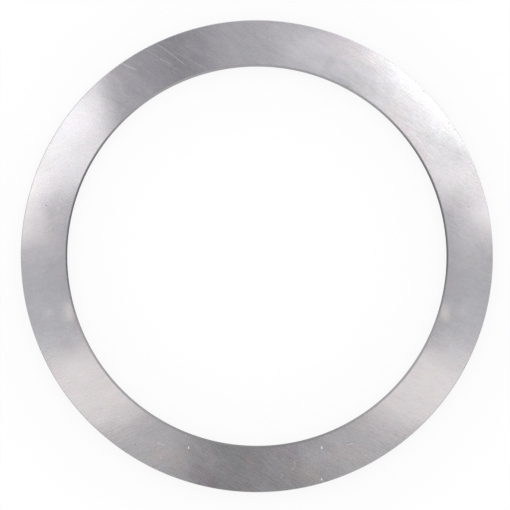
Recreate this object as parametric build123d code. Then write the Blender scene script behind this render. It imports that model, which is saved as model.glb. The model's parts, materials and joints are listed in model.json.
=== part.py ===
"""Shim ring: a flat steel ring that slides over a shaft and sets the gap beside a bearing.

It is one piece, cut from ground strip and deburred, so the whole part is one section
turned about the axis of the bore. The ring lies flat: its lower face is on Z = 0 and Z
runs up the axis of the bore. Lengths are in millimetres.
"""

import os

from build123d import *

BORE_DIAMETER = 85.0  # nominal size of the shaft that the ring slides over
BAND_WIDTH = 10.0  # from the bore to the rim, so the rim fits a 105 mm housing bore
THICKNESS = 2.0  # from face to face, the size that a shim is chosen by
BORE_EDGE_RADIUS = 0.15  # deburred edges at both ends of the bore
RIM_EDGE_RADIUS = 0.15  # deburred edges at both ends of the rim


def band_section():
    """Half section through the band, with its bore and rim edges rounded by deburring."""
    with BuildSketch(Plane.XZ) as section:
        with Locations((BORE_DIAMETER / 2, 0)):
            Rectangle(BAND_WIDTH, THICKNESS, align=(Align.MIN, Align.MIN))
        fillet(section.vertices().group_by(Axis.X)[0], BORE_EDGE_RADIUS)
        fillet(section.vertices().group_by(Axis.X)[-1], RIM_EDGE_RADIUS)
    return section.sketch


def shim_ring():
    """The finished ring: the section of its band turned once round the bore's axis."""
    ring = revolve(band_section(), Axis.Z)
    ring.label = "shim_ring"
    return ring


os.makedirs("parts", exist_ok=True)
export_step(shim_ring(), "parts/shim_ring.step")
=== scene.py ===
"""Looks of the shim ring: a finely ground steel ring lying flat on a pale floor.

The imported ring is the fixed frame. One dressed ring stands for it: the same section turned
in finer steps, with ground faces, sheared walls and deburred edges. Lengths are in metres,
or in millimetres where a name ends in mm or a comment says so.
"""

import json
import math
import bpy
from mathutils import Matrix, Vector


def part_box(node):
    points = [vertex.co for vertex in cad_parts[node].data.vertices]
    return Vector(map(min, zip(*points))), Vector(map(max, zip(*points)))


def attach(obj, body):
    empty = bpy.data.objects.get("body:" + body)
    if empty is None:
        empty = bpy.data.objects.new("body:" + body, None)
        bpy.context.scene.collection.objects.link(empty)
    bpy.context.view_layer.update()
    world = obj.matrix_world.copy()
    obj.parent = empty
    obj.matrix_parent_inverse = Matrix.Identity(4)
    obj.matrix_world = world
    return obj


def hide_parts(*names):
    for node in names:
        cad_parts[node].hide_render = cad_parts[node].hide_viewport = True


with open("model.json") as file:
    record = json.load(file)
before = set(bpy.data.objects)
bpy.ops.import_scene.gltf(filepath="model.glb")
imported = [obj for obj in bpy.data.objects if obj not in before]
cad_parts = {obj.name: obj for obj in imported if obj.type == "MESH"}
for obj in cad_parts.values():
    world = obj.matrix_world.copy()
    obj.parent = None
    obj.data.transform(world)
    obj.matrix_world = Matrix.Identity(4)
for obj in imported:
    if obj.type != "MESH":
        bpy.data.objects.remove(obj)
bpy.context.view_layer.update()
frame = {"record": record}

MM = 0.001

# The ring's own sizes, taken from the frame. The deburred edges take up what the bore's
# straight wall leaves of the thickness.
MOUNTS = {mount["name"]: mount for mount in frame["record"]["mounts"]}
LOW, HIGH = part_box("shim_ring")
BORE = MOUNTS["bore"]["dims"]
BORE_RADIUS = BORE["r_mm"] * MM
RIM_RADIUS = min(HIGH.x, HIGH.y, -LOW.x, -LOW.y)
EDGE_RADIUS = (HIGH.z - LOW.z - BORE["length_mm"] * MM) / 2

BORE_MM = BORE_RADIUS / MM
RIM_MM = RIM_RADIUS / MM
EDGE_MM = EDGE_RADIUS / MM
LOW_MM = LOW.z / MM
HIGH_MM = HIGH.z / MM

# How finely the ring is turned: steps once round the axis, and steps round each rounded edge.
RING_STEPS = 720
EDGE_STEPS = 6

# The camera looks straight down from this far above the upper face, a little off the axis.
CAMERA_HEIGHT = 222 * MM
CAMERA_ASIDE = (-0.42 * MM, 0.27 * MM)
CAMERA_LENS = 70.5

# The slope of the grinding lines. On the left of the ring, up to its shoulder, they cross to
# the other slope.
GRAIN_SLOPE = math.radians(-32)
CROSSED_SLOPE = math.radians(24)

# Marks on the upper face, in millimetres: start, end, width and how plain they are.
# Scratches are bright, pits and scuffs are dark, and dust is white specks and curled fibres.
SCRATCHES = (
    ((-29.9, 42.8), (-26.8, 41.4), 0.10, 0.75),
    ((-24.6, 45.9), (-19.0, 42.5), 0.08, 0.6),
    ((-22.2, 47.2), (-16.2, 42.8), 0.08, 0.8),
    ((-18.5, 45.5), (-11.4, 41.7), 0.08, 0.45),
    ((-19.9, 47.7), (-19.2, 47.3), 0.08, 0.45),
    ((-2.5, 48.2), (1.9, 42.3), 0.08, 0.3),
    ((-27.0, 45.2), (-22.4, 42.6), 0.08, 0.15),
    ((21.5, 46.0), (27.0, 42.2), 0.08, 0.3),
)
PITS = (
    ((-16.3, 42.9), (-15.9, 42.6), 0.22, 0.7),
    ((-21.4, 43.7), (-21.3, 43.6), 0.16, 0.7),
    ((-46.9, 11.3), (-46.7, 11.1), 0.20, 0.75),
    ((47.0, 11.0), (47.1, 10.9), 0.18, 0.5),
    ((36.9, 36.9), (37.5, 36.2), 0.16, 0.18),
    ((36.3, 35.1), (36.5, 34.9), 0.26, 0.16),
    ((30.8, 35.1), (31.8, 34.2), 0.12, 0.13),
    ((31.8, 34.2), (30.8, 33.4), 0.12, 0.10),
    ((42.6, 29.7), (43.0, 29.3), 0.16, 0.18),
    ((43.9, 28.4), (44.4, 27.9), 0.16, 0.20),
    ((40.2, 29.8), (41.4, 29.5), 0.12, 0.12),
    ((-43.7, 28.7), (-43.3, 28.2), 0.16, 0.2),
    ((-44.3, 28.0), (-44.0, 27.7), 0.14, 0.16),
    ((-45.9, 25.3), (-45.6, 24.9), 0.18, 0.25),
    ((-34.6, -33.9), (-34.6, -34.0), 0.12, 0.35),
)
DUST = (
    ((-15.2, -42.4), (-15.2, -42.7), 0.26, 1.0),
    ((14.4, -42.4), (14.4, -42.7), 0.28, 1.0),
    ((14.4, -49.5), (14.4, -49.7), 0.26, 1.0),
    ((-19.2, -41.4), (-19.1, -41.4), 0.12, 0.6),
    ((-22.0, -41.5), (-21.2, -41.9), 0.10, 0.7),
    ((-21.2, -41.9), (-20.6, -41.8), 0.10, 0.6),
    ((-21.4, -44.7), (-21.1, -45.0), 0.12, 0.5),
    ((20.0, -41.8), (20.7, -41.9), 0.10, 0.7),
    ((20.7, -41.9), (21.3, -41.5), 0.10, 0.7),
    ((18.4, -41.5), (18.5, -41.5), 0.12, 0.6),
    ((20.7, -44.8), (21.0, -45.1), 0.12, 0.5),
    ((-15.9, -39.8), (-15.8, -39.8), 0.12, 0.7),
    ((15.3, -39.8), (15.4, -39.8), 0.12, 0.6),
    ((51.7, -6.1), (51.6, -6.2), 0.12, 0.5),
    ((48.6, -8.2), (48.3, -8.5), 0.07, 0.35),
    ((-48.9, -8.1), (-48.5, -8.5), 0.07, 0.4),
    ((9.0, -45.4), (8.3, -45.6), 0.07, 0.5),
    ((8.3, -45.6), (8.5, -46.6), 0.07, 0.7),
    ((8.5, -46.6), (7.7, -47.6), 0.07, 0.6),
    ((11.2, -44.4), (11.7, -43.9), 0.07, 0.4),
    ((5.6, -45.4), (6.1, -45.0), 0.07, 0.3),
    ((5.3, -49.3), (5.6, -48.6), 0.07, 0.3),
)

# Faint stains and tints on the upper face, partly real stains and partly painted reflection that
# reshapes
# the mirrored patches: start, end and width in millimetres, and the tint that the steel is multiplied
# by.
STAINS_AND_SHEENS = (
    ((-6.4, -42.4), (-4.6, -46.6), 4.5, (0.93, 0.95, 0.94)),
    ((-13.0, -48.0), (-10.0, -50.2), 3.5, (0.92, 0.885, 0.915)),
    ((-9.0, -51.5), (-4.0, -52.0), 3.5, (0.93, 0.93, 0.92)),
    ((6.4, -42.0), (7.4, -44.0), 3.0, (0.97, 0.945, 0.98)),
    ((-1.4, -45.2), (-1.6, -45.8), 2.0, (1.04, 0.985, 0.99)),
    ((8.2, -47.2), (12.4, -49.0), 4.5, (1.01, 0.985, 0.96)),
    ((-22.0, -43.6), (-18.2, -45.4), 3.5, (1.03, 0.995, 0.97)),
    ((18.2, -44.0), (22.0, -43.2), 3.5, (1.03, 0.99, 0.97)),
    ((16.6, 43.6), (15.0, 41.2), 1.6, (0.93, 0.93, 0.94)),
    ((42.6, 25.8), (44.4, 22.6), 3.0, (0.94, 0.94, 0.945)),
    ((-28.0, 38.0), (-12.0, 46.0), 10.0, (1.002, 0.998, 1.015)),
    ((18.6, 46.4), (25.4, 43.4), 3.5, (1.025, 0.99, 0.975)),
    ((20.0, 39.4), (28.0, 34.0), 4.0, (0.985, 0.99, 0.985)),
    ((29.5, 31.5), (37.0, 22.0), 4.0, (1.02, 0.98, 0.98)),
    ((-47.5, -8.0), (-43.5, -18.5), 9.0, (0.978, 1.0, 1.003)),
    ((47.5, -8.0), (43.5, -18.5), 9.0, (0.978, 1.0, 1.003)),
)

# Patches painted a little brighter or darker, a painted reflection that reshapes the mirrored
# highlights: the same, with one level for all colours.
PAINTED_SHEENS = (
    ((41.6, -21.8), (44.2, -23.6), 5.6, 0.935),
    ((49.2, -12.3), (46.4, -19.6), 7.0, 1.05),
    ((-42.2, -20.2), (-45.2, -24.4), 4.6, 0.95),
    ((-49.2, -12.3), (-46.4, -19.6), 7.0, 1.035),
    ((4.6, -43.6), (3.6, -51.0), 5.5, 1.07),
    ((13.4, -42.0), (15.2, -46.6), 6.5, 0.96),
    ((-31.8, 33.6), (-34.5, 39.0), 3.8, 0.94),
    ((-27.2, 33.8), (-29.0, 36.4), 3.4, 1.03),
    ((-42.7, 9.8), (-42.1, 12.9), 5.0, 1.07),
    ((-50.9, 2.6), (-50.5, 6.8), 4.2, 0.95),
    ((-38.6, 21.2), (-36.2, 25.0), 4.0, 0.967),
    ((-36.5, 28.4), (-38.6, 29.8), 4.0, 1.02),
    ((18.6, 39.7), (21.6, 38.2), 3.2, 1.07),
    ((24.6, 40.6), (29.4, 37.6), 3.4, 0.96),
    ((46.4, 17.4), (47.2, 14.6), 3.4, 1.05),
    ((50.6, 7.2), (48.8, 1.8), 4.6, 0.96),
    ((37.4, 22.9), (39.4, 19.4), 3.0, 1.04),
    ((42.4, -14.6), (41.2, -17.6), 3.6, 1.04),
    ((-43.4, -9.6), (-39.0, -20.9), 3.0, 1.035),
    ((-49.8, 10.9), (-48.7, 14.9), 3.6, 0.965),
    ((40.6, -31.0), (33.6, -38.2), 3.2, 1.03),
    ((-40.0, -31.8), (-35.6, -36.6), 3.2, 1.03),
)

# On both sides of the ring the grain is rubbed coarser along this stroke, in millimetres.
RUBBED_STROKE = ((46.9, -22.0), (43.4, -28.6), 3.8)

# Each soft panel, by where the ring mirrors it: the middle in mm, the turn in degrees, the two
# sides in mm, its height over the ring in mm, its brightness and its tint. A lower panel is
# mirrored with crisper sides.
BRIGHT = (1.0, 0.99, 0.967)
WARM = (1.0, 0.935, 0.918)
SUNNY = (1.0, 0.955, 0.905)
PLAIN = (0.985, 1.0, 0.965)
GOLDEN = (1.0, 0.87, 0.76)
COOL = (0.985, 0.975, 1.0)
PANELS = (
    ("key_right", (40, 39), 42, (12, 33), 90, 2.4, PLAIN),
    ("wash_right", (34.3, 25.4), 38, (8, 30), 90, 1.12, BRIGHT),
    ("patch_right", (45.5, 18.5), 20, (9, 6), 50, 0.5, BRIGHT),
    ("wash_top", (17.3, 46.5), 0, (21.5, 14), 90, 0.76, COOL),
    ("rim_right", (54.5, 15), 0, (10, 19), 80, 1.25, SUNNY),
    ("key_left", (-45.6, 28.6), 8, (25, 28), 50, 1.03, BRIGHT),
    ("crest_left", (-43.2, 29.4), -34, (7, 16), 45, 0.3, BRIGHT),
    ("wash_left", (-29, 37), 0, (12, 24), 90, 0.22, COOL),
    ("rim_left", (-54, 10.5), 0, (11.5, 15), 70, 1.02, SUNNY),
    ("low_left", (-38.8, -29.8), 21, (31, 18.5), 75, 0.85, WARM),
    ("low_right", (38.8, -29.9), -21, (31, 18.5), 75, 0.85, WARM),
    ("side_left", (-49.5, -6), 0, (20, 40), 90, 0.36, COOL),
    ("side_right", (49.5, -6), 0, (20, 40), 90, 0.36, COOL),
    ("flank_left", (-47, 9), 0, (12, 12), 90, 0.3, COOL),
    ("flank_right", (50, 8), 0, (8, 9), 70, 0.22, COOL),
    ("spot_left", (-41.6, -12.2), 0, (1.6, 3.6), 12, 0.5, GOLDEN),
    ("spot_left_far", (-46.3, -12.5), 0, (1.6, 2), 12, 0.22, GOLDEN),
    ("spot_right", (41.6, -12.2), 0, (1.6, 3.6), 12, 0.45, GOLDEN),
    ("spot_right_far", (45.8, -12.3), 0, (1.6, 2), 12, 0.18, GOLDEN),
    ("top", (-2, 48), 0, (18, 20), 90, 0.3, COOL),
    ("foot_left", (-25, -43), 0, (20, 16), 90, 0.35, COOL),
    ("foot_right", (22.6, -43.2), 0, (25, 16), 90, 0.35, COOL),
)

# How bright the room is in front of the ring, behind it, overhead and near the horizon.
FRONT_LEVEL = 0.75
BACK_LEVEL = 1.15
ZENITH_LEVEL = 0.39
HORIZON_LEVEL = 1.0


class Wire:
    """One socket in a material. Maths on it adds Math nodes, so 1 - mask works."""

    def __init__(self, bench, socket):
        self.bench = bench
        self.socket = socket

    def maths(self, operation, *values):
        return self.bench.node("ShaderNodeMath", {"operation": operation}, dict(enumerate(values)))

    def __add__(self, other):
        return self.maths("ADD", self, other)

    def __sub__(self, other):
        return self.maths("SUBTRACT", self, other)

    def __mul__(self, other):
        return self.maths("MULTIPLY", self, other)

    def __truediv__(self, other):
        return self.maths("DIVIDE", self, other)

    def __rsub__(self, other):
        return self.maths("SUBTRACT", other, self)

    __radd__ = __add__
    __rmul__ = __mul__

    def size(self):
        return self.maths("ABSOLUTE", self)

    def most(self, other):
        return self.maths("MAXIMUM", self, other)

    def ramp(self, start, end):
        """A smooth step from 0 at start to 1 at end, whichever of them is the greater."""
        settings = {"interpolation_type": "SMOOTHSTEP"}
        values = {"Value": self, "From Min": start, "From Max": end}
        return self.bench.node("ShaderNodeMapRange", settings, values)


class Bench:
    """The nodes of one material or world."""

    def __init__(self, owner):
        owner.use_nodes = True
        self.tree = owner.node_tree
        self.tree.nodes.clear()

    def node(self, kind, settings=None, inputs=None, output=0):
        """One new node; a tuple of outputs gives as many wires."""
        made = self.tree.nodes.new(kind)
        for name, value in (settings or {}).items():
            setattr(made, name, value)
        for name, value in (inputs or {}).items():
            if isinstance(value, Wire):
                self.tree.links.new(value.socket, made.inputs[name])
            else:
                made.inputs[name].default_value = value
        if isinstance(output, tuple):
            return [Wire(self, made.outputs[name]) for name in output]
        return Wire(self, made.outputs[output]) if made.outputs else None

    def vector(self, operation, inputs, output=0):
        return self.node("ShaderNodeVectorMath", {"operation": operation}, inputs, output)

    def point(self, x, y, z):
        return self.node("ShaderNodeCombineXYZ", None, {0: x, 1: y, 2: z})

    def blend(self, share, first, second, mode="MIX"):
        """A colour between first and second."""
        settings = {"data_type": "RGBA", "blend_type": mode}
        return self.node("ShaderNodeMix", settings, {0: share, 6: first, 7: second}, 2)

    def slide(self, share, first, second):
        """A point on the way from first to second, and never beyond them."""
        settings = {"data_type": "VECTOR", "clamp_factor": True}
        return self.node("ShaderNodeMix", settings, {0: share, 4: first, 5: second}, 1)

    def noise(self, place, scale, detail=2.0, roughness=0.5, distortion=0.0):
        inputs = {
            "Vector": place, "Scale": scale, "Detail": detail,
            "Roughness": roughness, "Distortion": distortion,
        }
        return self.node("ShaderNodeTexNoise", None, inputs)


def grey(level):
    return (level, level, level, 1.0)


def between(share, first, second):
    """A value that goes from first to second with the share."""
    return first + share * (second - first)


def band_section():
    """Points round the section of the band as (radius, height, normal), edges rounded."""
    corners = (
        (RIM_RADIUS - EDGE_RADIUS, HIGH.z - EDGE_RADIUS, 0),
        (BORE_RADIUS + EDGE_RADIUS, HIGH.z - EDGE_RADIUS, 90),
        (BORE_RADIUS + EDGE_RADIUS, LOW.z + EDGE_RADIUS, 180),
        (RIM_RADIUS - EDGE_RADIUS, LOW.z + EDGE_RADIUS, 270),
    )
    points = []
    for radius, height, start in corners:
        for step in range(EDGE_STEPS + 1):
            turn = math.radians(start + 90 * step / EDGE_STEPS)
            out, up = math.cos(turn), math.sin(turn)
            points.append((radius + EDGE_RADIUS * out, height + EDGE_RADIUS * up, out, up))
    return points


def distances_along(section):
    """How far round the section each point lies, as shares of the whole way, closed."""
    ends = section[1:] + section[:1]
    places = [0.0]
    for (radius, height, *_), (next_radius, next_height, *_) in zip(section, ends):
        places.append(places[-1] + math.hypot(next_radius - radius, next_height - height))
    return [place / places[-1] for place in places]


def turned_ring(name, steps, strips=4):
    """The band's section turned once round Z, with the true normals of its faces and edges.

    Its texture map lays the whole surface of the band out as straight strips, one above the
    other, each a part of the way round.
    """
    section = band_section()
    shares = distances_along(section)
    count = len(section)
    per_strip = steps // strips
    end_gap, side_gap = 0.01, 0.02
    vertices, normals, faces, corners = [], [], [], []
    for step in range(steps):
        turn = 2 * math.pi * step / steps
        along_x, along_y = math.cos(turn), math.sin(turn)
        for radius, height, out, up in section:
            vertices.append((radius * along_x, radius * along_y, height))
            normals.append((out * along_x, out * along_y, up))
    for step in range(steps):
        here, there = step * count, (step + 1) % steps * count
        strip, place = divmod(step, per_strip)
        left, right = (end_gap + (1 - 2 * end_gap) * (place + end) / per_strip for end in (0, 1))
        for point in range(count):
            after = (point + 1) % count
            faces.append((here + point, there + point, there + after, here + after))
            span = (side_gap + (1 - 2 * side_gap) * shares[point + end] for end in (0, 1))
            low, high = ((strip + share) / strips for share in span)
            corners += [(left, low), (right, low), (right, high), (left, high)]
    mesh = bpy.data.meshes.new(name)
    mesh.from_pydata(vertices, [], faces)
    layer = mesh.uv_layers.new(name="OFBake")
    layer.data.foreach_set("uv", [value for corner in corners for value in corner])
    mesh.polygons.foreach_set("use_smooth", [True] * len(faces))
    mesh.normals_split_custom_set_from_vertices(normals)
    ring = bpy.data.objects.new(name, mesh)
    bpy.context.scene.collection.objects.link(ring)
    return ring


def stroke(bench, flat_mm, start, end, width_mm):
    """A mask over a short straight mark with round ends."""
    start, end = Vector((*start, 0)), Vector((*end, 0))
    way = (end - start) / (end - start).length_squared
    share = bench.vector("DOT_PRODUCT", {0: flat_mm, 1: way}, "Value") - start.dot(way)
    nearest = bench.slide(share, start, end)
    distance = bench.vector("DISTANCE", {0: flat_mm, 1: nearest}, "Value")
    return distance.ramp(width_mm * 0.8, width_mm * 0.2)


class Zones:
    """Where a point of the ring lies, in millimetres, and masks over the parts of the ring."""

    def __init__(self, bench):
        self.bench = bench
        place = bench.node("ShaderNodeTexCoord", None, None, "Object")
        self.point_mm = bench.vector("SCALE", {0: place, 3: 1 / MM})
        split = bench.node("ShaderNodeSeparateXYZ", None, {0: self.point_mm}, (0, 1, 2))
        self.x_mm, self.y_mm, self.z_mm = split
        self.flat_mm = bench.point(self.x_mm, self.y_mm, 0.0)
        self.radius_mm = bench.vector("LENGTH", {0: self.flat_mm}, "Value")
        self.find_surfaces()
        self.find_areas()

    def find_surfaces(self):
        """Both walls, the rounded edges, the upper face and what lies near the bore."""
        half_band_mm, half_height_mm = (RIM_MM - BORE_MM) / 2, (HIGH_MM - LOW_MM) / 2
        from_middle = (self.radius_mm - (RIM_MM + BORE_MM) / 2).size()
        from_level = (self.z_mm - (HIGH_MM + LOW_MM) / 2).size()
        near_wall = from_middle.ramp(half_band_mm - 1.1 * EDGE_MM, half_band_mm - 0.9 * EDGE_MM)
        near_face = from_level.ramp(half_height_mm - 1.1 * EDGE_MM, half_height_mm - 0.9 * EDGE_MM)
        self.wall = from_middle.ramp(half_band_mm - 0.6 * EDGE_MM, half_band_mm - 0.1 * EDGE_MM)
        self.edge = near_wall * near_face
        self.upper = self.z_mm.ramp(HIGH_MM - 0.9 * EDGE_MM, HIGH_MM - 0.5 * EDGE_MM)
        self.inside = self.radius_mm.ramp(BORE_MM + 4.0, BORE_MM + 2.0)

    def find_areas(self):
        """Areas that were ground a little differently, with +Y as the head of the ring."""
        aside_mm = self.x_mm.size()
        self.foot = self.y_mm.ramp(-32, -44)
        self.head = self.y_mm.ramp(40, 47)
        self.upper_half = self.y_mm.ramp(5, 25)
        self.shoulder = self.x_mm.ramp(14, 36) * self.y_mm.ramp(4, 20)
        self.flanks = aside_mm.ramp(36, 43)
        self.low_corners = self.y_mm.ramp(-8, -28) * aside_mm.ramp(14, 26)
        self.crossed = self.x_mm.ramp(-12, -24) * self.y_mm.ramp(31, 22)
        both_sides_mm = self.bench.point(aside_mm, self.y_mm, 0.0)
        self.rubbed = stroke(self.bench, both_sides_mm, *RUBBED_STROKE) * self.upper

    def marked(self, marks):
        """All the marks of one list in one mask over the upper face."""
        mask = None
        for start, end, width_mm, strength in marks:
            mark = stroke(self.bench, self.flat_mm, start, end, width_mm) * strength
            mask = mark if mask is None else mask.most(mark)
        return mask * self.upper


class Grinding:
    """The pattern that grinding leaves on the faces, as noises about 0, and flecks from 0 to 1."""

    def __init__(self, bench, zones):
        self.bench = bench
        self.zones = zones
        self.fine = self.lines(2.4, 0.14, 2.0) - 0.5
        self.drag = self.lines(8.0, 0.22, 1.0) - 0.5
        self.bands = self.lines(6.0, 2.2, 1.0) - 0.5
        self.flecks = self.lines(0.9, 0.22, 1.0).ramp(0.66, 0.74)
        self.mottle = bench.noise(zones.point_mm, 1.1, 4.0, 0.7) - 0.5
        self.grit = bench.noise(zones.point_mm, 4.0, 1.0) - 0.5
        self.clouds = bench.noise(zones.point_mm, 0.12, 3.0, 0.6, 0.4) - 0.5

    def lines(self, length_mm, width_mm, detail):
        """Noise drawn out along the grain, which crosses to its other slope in one area."""
        x_mm, y_mm, z_mm = self.zones.x_mm, self.zones.y_mm, self.zones.z_mm
        ways = []
        for slope in (GRAIN_SLOPE, CROSSED_SLOPE):
            along = x_mm * math.cos(slope) + y_mm * math.sin(slope)
            across = y_mm * math.cos(slope) - x_mm * math.sin(slope)
            place = self.bench.point(along / length_mm, across / width_mm, z_mm * 3.0)
            ways.append(self.bench.noise(place, 1.0, detail))
        return between(self.zones.crossed, *ways)

    def shade(self):
        """How bright the steel is, about 1: keener streaks and more grit in some areas."""
        zones = self.zones
        keen = 0.9 + zones.foot * 0.9 + zones.head * 0.2 + zones.shoulder * 0.3
        keen = keen - zones.flanks * 0.3 + zones.rubbed * 0.9
        gritty = 0.18 + zones.foot * 0.36 + zones.upper_half * 0.14 + zones.shoulder * 0.13
        gritty = gritty + zones.rubbed * 0.25
        streaks = self.fine * 0.30 + self.drag * 0.14 - self.flecks * 0.15
        broad = self.bands * 0.22 * (1 - zones.flanks * 0.6)
        broad = broad + self.mottle * 0.17 + self.clouds * 0.16
        calm = 1 - zones.low_corners * 0.45
        return 1 + streaks * keen + self.grit * gritty + broad * calm

    def roughness(self):
        return 0.21 + (self.clouds + self.fine + self.drag + self.mottle) * 0.06

    def relief(self):
        """Height of the ground faces in millimetres, with the plate's own slow swell."""
        swell = self.bench.noise(self.zones.point_mm, 0.09, 1.0)
        grooves = (self.fine + self.drag) * 0.003 * (1 - self.zones.flanks * 0.5)
        return grooves + self.mottle * 0.0005 + swell * 0.08


class ShearedWalls:
    """The bore's and the rim's walls: burnished above and torn below, with streaks down them."""

    def __init__(self, bench, zones):
        self.bench = bench
        self.zones = zones
        place = bench.point(zones.x_mm * 3.0, zones.y_mm * 3.0, zones.z_mm * 0.4)
        self.streaks = bench.noise(place, 1.0, 3.0)
        level_mm = zones.z_mm + self.streaks * 0.8
        self.burnished = level_mm.ramp(LOW_MM + 0.8, LOW_MM + 1.2)

    def colour(self):
        """Dull steel. The bore has painted shade on its two sides, is painted pale elsewhere, and has
        painted shade at its foot.
        """
        bench, zones = self.bench, self.zones
        across, up = (way / zones.radius_mm for way in (zones.x_mm, zones.y_mm))
        shaded_sides = across.size().ramp(0.5, 0.95) * up.ramp(-0.55, 0.0)
        steel = bench.blend(self.burnished, grey(0.10), (0.16, 0.155, 0.16, 1.0))
        steel = bench.blend((self.streaks - 0.4) * 1.5, steel, grey(0.22))
        # Painted shade on the bore's two sides and at its foot, and painted light on the rest of the
        # bore.
        steel = bench.blend(zones.inside * shaded_sides * 0.9, steel, (0.032, 0.028, 0.037, 1.0))
        steel = bench.blend(zones.inside * (1 - shaded_sides) * 0.8, steel, (0.37, 0.35, 0.38, 1.0))
        return bench.blend(zones.inside * zones.foot * 0.7, steel, grey(0.12))

    def roughness(self):
        return 0.62 - self.burnished * 0.18


def faint_hues(bench, point_mm):
    """Faint patches of other tints, as a colour close to white."""
    inputs = {"Vector": point_mm, "Scale": 0.32, "Detail": 2.0, "Roughness": 0.6}
    hues = bench.node("ShaderNodeTexNoise", None, inputs, 1)
    depth = 0.07
    return bench.vector("MULTIPLY_ADD", {0: hues, 1: (depth,) * 3, 2: (1 - depth / 2,) * 3})


def face_colour(bench, zones, shade):
    """Bare ground steel with its hues and stains, and painted reflection in patches that reshape the
    mirrored highlights.
    """
    foot_steel, head_steel = (0.588, 0.577, 0.582, 1.0), (0.583, 0.573, 0.594, 1.0)
    steel = bench.blend(zones.y_mm.ramp(-48, 30), foot_steel, head_steel)
    steel = bench.vector("MULTIPLY", {0: steel, 1: faint_hues(bench, zones.point_mm)})
    # Stains, partly painted reflection that tints and reshapes the mirrored patches.
    for start, end, width_mm, tint in STAINS_AND_SHEENS:
        stain_or_sheen = stroke(bench, zones.flat_mm, start, end, width_mm) * zones.upper
        steel = bench.blend(stain_or_sheen, steel, (*tint, 1.0), "MULTIPLY")
    # Painted reflection: brighter and darker patches that reshape the mirrored highlights.
    for start, end, width_mm, level in PAINTED_SHEENS:
        patch = stroke(bench, zones.flat_mm, start, end, width_mm) * zones.upper
        steel = bench.blend(patch, steel, grey(level), "MULTIPLY")
    return bench.vector("SCALE", {0: steel, 3: shade})


def edge_colour(bench, zones, colour):
    """The deburred edges: greyer round the bore, with painted shade at its foot, and a painted
    highlight on the upper right of the rim."""
    # Painted highlight on the upper right of the rim, and painted shade on the bore's edge at its
    # foot.
    painted_highlight = (1 - zones.inside) * zones.x_mm.ramp(-10, 20) * zones.y_mm.ramp(-15, 20)
    colour = bench.blend(zones.edge * zones.inside * 0.5, colour, grey(0.40))
    colour = bench.blend(zones.edge * zones.inside * zones.foot * 0.8, colour, grey(0.20))
    return bench.blend(zones.edge * painted_highlight * 0.8, colour, grey(0.9))


def ground_steel():
    """Finely ground steel on the faces, and duller sheared steel on the bore and the rim."""
    material = bpy.data.materials.new("ground_steel")
    bench = Bench(material)
    zones = Zones(bench)
    grinding = Grinding(bench, zones)
    walls = ShearedWalls(bench, zones)
    scratch, pit, dust = (zones.marked(marks) for marks in (SCRATCHES, PITS, DUST))

    colour = face_colour(bench, zones, grinding.shade())
    colour = bench.blend(scratch, colour, grey(0.8))
    colour = bench.blend(pit, colour, grey(0.3))
    colour = bench.blend(zones.wall, colour, walls.colour())
    colour = edge_colour(bench, zones, colour)
    colour = bench.blend(dust, colour, grey(0.9))

    roughness = grinding.roughness() + scratch * 0.22 + pit * 0.2
    roughness = between(zones.wall, roughness, walls.roughness())
    roughness = between(zones.edge * 0.7, roughness, 0.45)
    roughness = between(dust, roughness, 0.8)

    height = grinding.relief() - pit * 0.03 - scratch * 0.006
    height = between(zones.wall, height, walls.streaks * 0.05)
    bump = {"Height": height, "Strength": 1.0, "Distance": MM, "Filter Width": 0.15}
    finish = {
        "Base Color": colour,
        "Metallic": 1 - dust,
        "Roughness": roughness,
        "Normal": bench.node("ShaderNodeBump", None, bump),
    }
    shader = bench.node("ShaderNodeBsdfPrincipled", None, finish)
    bench.node("ShaderNodeOutputMaterial", None, {"Surface": shader})
    return material


def dressed_ring():
    ring = turned_ring("ground_ring", RING_STEPS)
    ring.data.materials.append(ground_steel())
    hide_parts("shim_ring")
    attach(ring, "root")


def white_card():
    """White card that keeps the ring's soft shadow and is plain white further off."""
    material = bpy.data.materials.new("white_card")
    bench = Bench(material)
    paths = ("Is Camera Ray", "Is Glossy Ray", "Is Transmission Ray")
    camera, glossy, transmission = bench.node("ShaderNodeLightPath", output=paths)
    shown = camera.most(glossy).most(transmission)
    place = bench.node("ShaderNodeTexCoord", None, None, "Object")
    from_axis = bench.vector("LENGTH", {0: place}, "Value")
    from_band = (from_axis - (RIM_RADIUS + BORE_RADIUS) / 2).size()
    clear = between(from_band.ramp(6 * MM, 28 * MM), 0.87, 1.0)
    card = bench.node("ShaderNodeBsdfDiffuse", None, {"Color": grey(0.98)})
    glow = bench.node("ShaderNodeEmission", None, {"Color": grey(1.0), "Strength": 1.0})
    mixed = bench.node("ShaderNodeMixShader", None, {0: shown * clear, 1: card, 2: glow})
    bench.node("ShaderNodeOutputMaterial", None, {"Surface": mixed})
    return material


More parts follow.
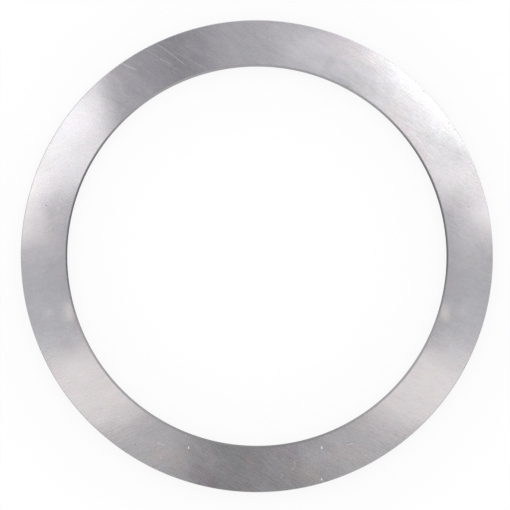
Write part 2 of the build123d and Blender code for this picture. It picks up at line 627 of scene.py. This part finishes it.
def pale_floor():
    """A wide floor just under the ring."""
    reach = 30.0
    level = LOW.z - 0.01 * MM
    corners = [(reach * x, reach * y, level) for x, y in ((-1, -1), (1, -1), (1, 1), (-1, 1))]
    mesh = bpy.data.meshes.new("pale_floor")
    mesh.from_pydata(corners, [], [(0, 1, 2, 3)])
    mesh.materials.append(white_card())
    floor = bpy.data.objects.new("pale_floor", mesh)
    bpy.context.scene.collection.objects.link(floor)


def soft_panel(name, middle_mm, turn, sides_mm, height_mm, level, tint):
    """A lamp that the ring mirrors to the camera as a rectangle of these sides at this place."""
    scale = 1 + height_mm * MM / CAMERA_HEIGHT
    lamp = bpy.data.lights.new(name, "AREA")
    lamp.shape = "RECTANGLE"
    lamp.size, lamp.size_y = (side * scale * MM for side in sides_mm)
    lamp.energy = level * math.pi * lamp.size * lamp.size_y
    lamp.color = tint
    panel = bpy.data.objects.new(name, lamp)
    eye = Vector(CAMERA_ASIDE)
    spot = eye + (Vector(middle_mm) * MM - eye) * scale
    panel.location = (*spot, HIGH.z + height_mm * MM)
    panel.rotation_euler = (0, 0, math.radians(turn))
    panel.visible_camera = False
    bpy.context.scene.collection.objects.link(panel)


def soft_room():
    """A pale room, brighter behind the ring, darker overhead and even at the horizon."""
    world = bpy.data.worlds.new("soft_room")
    bpy.context.scene.world = world
    bench = Bench(world)
    way = bench.node("ShaderNodeTexCoord", None, None, "Generated")
    back, up = bench.node("ShaderNodeSeparateXYZ", None, {0: way}, (1, 2))
    around = between(back.ramp(-0.6, 0.7), FRONT_LEVEL, BACK_LEVEL)
    around = between(up.ramp(0.08, 0.2), HORIZON_LEVEL, around)
    level = between(up.ramp(0.7, 0.95), around, ZENITH_LEVEL)
    paint = {"Color": (0.98, 0.967, 1.0, 1.0), "Strength": level}
    room = bench.node("ShaderNodeBackground", None, paint)
    bench.node("ShaderNodeOutputWorld", None, {"Surface": room})


def camera_above():
    data = bpy.data.cameras.new("camera_above")
    data.lens = CAMERA_LENS
    data.sensor_width = 36.0
    data.clip_start = 0.01
    camera = bpy.data.objects.new("camera_above", data)
    camera.location = (*CAMERA_ASIDE, HIGH.z + CAMERA_HEIGHT)
    bpy.context.scene.collection.objects.link(camera)
    bpy.context.scene.camera = camera


dressed_ring()
pale_floor()
for panel in PANELS:
    soft_panel(*panel)
soft_room()
camera_above()
bpy.context.scene.view_settings.view_transform = "Standard"
